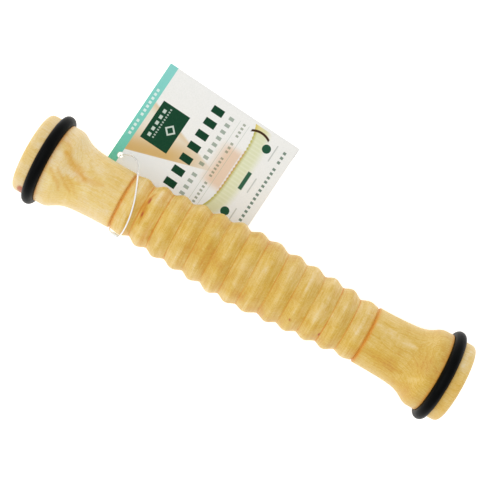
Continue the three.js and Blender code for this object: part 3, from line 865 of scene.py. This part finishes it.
def print_material():
    """Generic print: a teal head band, warm and pale fields, and plain bars in place of lettering."""
    n = Nodes("printed_card_face")
    co = n.vec("MULTIPLY", n.coords(), (1000.0,) * 3)
    a, b, _ = n.xyz(co)
    grainy = n.noise(co, 1.3, 2.0, 0.5)

    def edge(v, at, w=0.10):
        """0 below at, 1 above it, over a soft mm or less."""
        return n.map(v, at - w / 2, at + w / 2, 0.0, 1.0)

    def box(a0, a1, b0, b1, w=0.12):
        m = n.mul(edge(a, a0, w), n.sub(1.0, edge(a, a1, w)))
        m = n.mul(m, edge(b, b0, w))
        return n.mul(m, n.sub(1.0, edge(b, b1, w)))

    def row(a0, a1, b0, b1, count, duty):
        """A row of plain blocks between b0 and b1."""
        pitch = (b1 - b0) / count
        f = n.math("FRACT", n.mul(n.sub(b, b0), 1.0 / pitch))
        w = 0.22 / pitch
        on = n.mul(n.map(f, 0.0, w, 0.0, 1.0), n.map(f, duty - w, duty, 1.0, 0.0))
        return n.mul(on, box(a0, a1, b0, b1, 0.25))

    def dist(ca, cb):
        da, db = n.sub(a, ca), n.sub(b, cb)
        return n.math("SQRT", n.add(n.mul(da, da), n.mul(db, db)))

    def disc(ca, cb, r, w=0.14):
        return n.sub(1.0, edge(dist(ca, cb), r, w))

    paper = n.mix(n.map(grainy, 0.3, 0.7, 0.0, 1.0), srgb(243, 243, 241), srgb(237, 238, 235))
    # painted light: the paper turns lighter and bluer towards the roller, cancelling its shade and warm bounce on the
    # card
    paper = n.mix(n.map(b, -2.0, 26.0, 1.0, 0.0, "SMOOTHSTEP"), paper, srgb(241, 248, 255))
    col = paper
    # warm tapering field under the head band, darker along both its edges, fading downwards
    left = n.add(n.mul(a, 0.345), 4.5)
    right = n.sub(38.0, n.mul(a, 0.30))
    inside = n.mul(edge(n.sub(b, left), 0.0, 0.5), n.sub(1.0, edge(n.sub(b, right), 0.0, 1.6)))
    tan_l = n.map(n.sub(b, left), 2.0, 20.0, 1.0, 0.0, "SMOOTHSTEP")
    tan_r = n.map(n.sub(right, b), 0.0, 7.0, 0.55, 0.0, "SMOOTHSTEP")
    fade = n.map(a, 22.0, 62.0, 1.0, 0.0, "SMOOTHSTEP")
    warm = n.mix(n.math("MAXIMUM", tan_l, tan_r), srgb(236, 230, 216), srgb(214, 181, 120))
    col = n.mix(n.mul(inside, fade), col, warm)
    # a second soft blush above the picture of the roller
    blush = n.mul(n.map(a, 44.0, 53.0, 0.0, 1.0, "SMOOTHSTEP"), n.sub(1.0, edge(a, 59.6, 0.6)))
    blush = n.mul(blush, n.mul(n.map(b, 12.0, 18.0, 0.0, 1.0, "SMOOTHSTEP"), n.map(b, 38.0, 44.0, 1.0, 0.0, "SMOOTHSTEP")))
    col = n.mix(n.mul(blush, 0.75), col, srgb(229, 194, 160))
    # head band
    teal = n.mix(n.map(b, -5.0, 62.0, 0.0, 1.0), srgb(110, 206, 188), srgb(138, 212, 205))
    col = n.mix(n.sub(1.0, edge(a, -0.07, 0.12)), col, teal)
    for b0, b1, k in ((13.4, 25.0, 4), (26.6, 46.6, 7)):
        col = n.mix(n.mul(row(-3.75, -2.05, b0, b1, k, 0.66), 0.85), col, srgb(232, 247, 243))
    # dark block with plain pale marks
    col = n.mix(box(3.45, 22.2, 15.7, 41.6), col, srgb(10, 66, 42))
    col = n.mix(n.mul(row(6.3, 8.3, 18.8, 39.2, 5, 0.62), 0.82), col, srgb(214, 228, 220))
    col = n.mix(n.mul(row(9.6, 10.7, 19.2, 40.4, 12, 0.62), 0.72), col, srgb(206, 222, 213))
    diamond = n.add(n.math("ABSOLUTE", n.sub(a, 16.5)), n.math("ABSOLUTE", n.sub(b, 28.6)))
    col = n.mix(n.mul(n.sub(1.0, edge(diamond, 3.7, 0.3)), 0.85), col, srgb(214, 228, 220))
    col = n.mix(n.sub(1.0, edge(diamond, 2.3, 0.3)), col, srgb(10, 66, 42))
    # title, subtitle and small lines, all as bars
    col = n.mix(row(30.0, 37.6, 0.4, 60.2, 7, 0.56), col, srgb(6, 62, 38))
    for b0, b1, k in ((0.4, 18.0, 4), (21.4, 58.0, 8)):
        col = n.mix(n.mul(row(41.5, 44.7, b0, b1, k, 0.52), 0.66), col, srgb(92, 124, 98))
    for a0 in (48.1, 54.3):
        col = n.mix(n.mul(box(a0, a0 + 0.28, 0.5, 57.0, 0.2), 0.5), col, srgb(150, 172, 152))
    for b0, b1, k in ((0.6, 16.2, 6), (18.9, 33.6, 6), (35.9, 44.4, 3), (47.2, 57.8, 4)):
        col = n.mix(n.mul(row(50.6, 52.4, b0, b1, k, 0.6), 0.7), col, srgb(116, 132, 104))
    # pale picture of a waisted roller, fading out below
    s = n.map(b, 2.0, 60.6, -1.0, 1.0)
    s2 = n.mul(s, s)
    top = n.sub(60.6, n.mul(n.mul(s2, s2), 3.9))
    ripple = n.mul(n.math("SINE", n.mul(b, 2.6)), n.map(s2, 0.45, 0.75, 0.22, 0.0))
    depth = n.sub(a, n.add(top, ripple))
    span = n.mul(edge(b, 2.0, 0.3), n.sub(1.0, edge(b, 60.6, 0.5)))
    show = n.mul(n.mul(edge(depth, 0.0, 0.3), n.map(depth, 6.5, 12.5, 1.0, 0.0, "SMOOTHSTEP")), span)
    rim_c = n.mix(n.map(depth, 0.0, 2.6, 1.0, 0.0, "SMOOTHSTEP"), srgb(222, 226, 190), srgb(184, 178, 74))
    flute = n.mul(n.map(n.math("SINE", n.mul(b, 2.6)), -0.2, 1.0, 0.0, 0.35), n.map(s2, 0.45, 0.75, 1.0, 0.0))
    rim_c = n.mix(flute, rim_c, srgb(240, 242, 222))
    rim_c = n.mix(n.mul(n.map(b, 55.5, 59.0, 0.0, 1.0), n.map(depth, 0.0, 6.0, 0.8, 0.3)), rim_c, srgb(230, 208, 118))
    col = n.mix(show, col, rim_c)
    warm_rim = n.mul(n.mul(n.map(depth, -0.7, 0.1, 0.0, 1.0), n.map(depth, 0.1, 0.9, 1.0, 0.0)), box(50.0, 66.0, 14.0, 43.0, 3.0))
    col = n.mix(n.mul(warm_rim, 0.7), col, srgb(200, 136, 74))
    arc = n.sub(n.math("ABSOLUTE", n.sub(dist(63.0, 46.5), 11.3)), 0.0)
    band = n.mul(n.sub(1.0, edge(arc, 0.72, 0.3)), n.mul(edge(a, 56.6, 0.4), n.sub(1.0, edge(a, 69.0, 0.4))))
    col = n.mix(n.mul(band, edge(b, 50.0, 0.2)), col, srgb(64, 40, 22))
    # three plain marks with a thin bar under each
    col = n.mix(disc(70.2, 6.8, 2.75), col, srgb(30, 82, 58))
    col = n.mix(box(68.9, 71.4, 22.4, 34.4, 0.4), col, srgb(48, 96, 72))
    col = n.mix(disc(70.4, 51.4, 2.75), col, srgb(30, 82, 58))
    for b0, b1 in ((3.0, 12.0), (23.2, 33.4), (45.8, 56.8)):
        col = n.mix(n.mul(box(74.8, 75.6, b0, b1, 0.3), 0.5), col, srgb(150, 160, 152))
    for b0, b1, k in ((3.6, 45.8, 14), (47.6, 57.4, 3)):
        col = n.mix(n.mul(row(80.0, 81.9, b0, b1, k, 0.6), 0.82), col, srgb(52, 98, 74))
    # a halftone's slight mottle, and wear where the punch rubs
    mott = n.noise(co, 3.4, 2.0, 0.6)
    col = n.mix(n.map(mott, 0.35, 0.65, 0.0, 0.012), col, srgb(250, 250, 248))
    rub = n.math("MULTIPLY", n.map(dist(0.0, 0.0), 1.65, 2.25, 1.0, 0.0), n.map(mott, 0.3, 0.6, 0.5, 1.0), clamp=True)
    col = n.mix(rub, col, srgb(244, 244, 240))
    fibre = n.noise(co, 7.0, 3.0, 0.6)
    n.surface(
        Base_Color=col,
        Roughness=n.map(fibre, 0.3, 0.7, 0.40, 0.52),
        IOR=1.48,
        Normal=n.bump(fibre, 0.10, 0.00004),
    ).inputs["Specular IOR Level"].default_value = 0.05
    return n.mat


def board_material():
    n = Nodes("card_board")
    co = n.vec("MULTIPLY", n.coords(), (1000.0,) * 3)
    f1 = n.noise(n.vec("MULTIPLY", co, (1.0, 0.4, 1.0)), 3.0, 4.0, 0.6)
    f2 = n.noise(co, 0.35, 2.0, 0.5)
    col = n.mix(n.map(f1, 0.3, 0.7, 0.0, 1.0), srgb(240, 239, 233), srgb(226, 224, 215))
    col = n.mix(n.map(f2, 0.3, 0.7, 0.0, 0.3), col, srgb(232, 228, 216))
    n.surface(Base_Color=col, Roughness=n.map(f1, 0.3, 0.7, 0.68, 0.82), IOR=1.45, Normal=n.bump(f1, 0.22, 0.00006))
    return n.mat


card_me = tag_mesh()
card_me.materials.append(print_material())
card_me.materials.append(board_material())
card = bpy.data.objects.new("printed_card", card_me)
bpy.context.collection.objects.link(card)
card.matrix_world = (
    Matrix.Translation(Vector(TAG_HOLE) * MM) @ Matrix.Rotation(TAG_YAW, 4, "Z") @ Matrix.Rotation(-TAG_TILT, 4, "X")
)
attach(card, "tag")
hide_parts("hang_tag")


# ---------------------------------------------------------------- floor and light
fl = Nodes("floor_white")
fco = fl.coords()
fb = fl.surface(
    Base_Color=fl.mix(fl.noise(fco, 9.0, 2.0, 0.5), (0.90, 0.90, 0.90, 1.0), (0.93, 0.93, 0.93, 1.0)),
    Roughness=0.9,
)
fb.inputs["Emission Color"].default_value = (1.0, 1.0, 1.0, 1.0)
fb.inputs["Emission Strength"].default_value = 0.52
floor = mesh_object("floor", [(-4, -4, 0), (4, -4, 0), (4, 4, 0), (-4, 4, 0)], [(0, 1, 2, 3)], [fl.mat], smooth=False)

world = bpy.data.worlds.new("studio")
world.use_nodes = True
wt = world.node_tree
bg = wt.nodes["Background"]
lean = wt.nodes.new("ShaderNodeVectorMath")
lean.operation = "DOT_PRODUCT"
lean.inputs[1].default_value = (0.95, 0.30, 0.0)
wt.links.new(wt.nodes.new("ShaderNodeTexCoord").outputs["Generated"], lean.inputs[0])
wr = wt.nodes.new("ShaderNodeMapRange")
wr.interpolation_type = "SMOOTHSTEP"
for k, v in (("From Min", -0.62), ("From Max", 0.55), ("To Min", 0.92), ("To Max", 0.78)):
    wr.inputs[k].default_value = v
wt.links.new(lean.outputs["Value"], wr.inputs["Value"])
wt.links.new(wr.outputs["Result"], bg.inputs["Strength"])
bg.inputs[0].default_value = (1.0, 1.0, 1.0, 1.0)
bpy.context.scene.world = world


def area(name, at, aim, size, power, colour=(1, 1, 1)):
    d = bpy.data.lights.new(name, "AREA")
    d.shape = "RECTANGLE"
    d.size, d.size_y = size
    d.energy = power
    d.color = colour
    o = bpy.data.objects.new(name, d)
    o.location = at
    o.rotation_euler = (Vector(aim) - Vector(at)).to_track_quat("-Z", "Y").to_euler()
    bpy.context.collection.objects.link(o)
    o.visible_camera = False
    return o


area("key", (-0.55, -0.12, 1.0), (0, 0, 0.02), (1.0, 1.0), 2.7)

bpy.context.scene.view_settings.view_transform = "Standard"
bpy.context.scene.view_settings.look = "None"
bpy.context.scene.view_settings.exposure = 0.0
bpy.context.scene.view_settings.gamma = 1.0
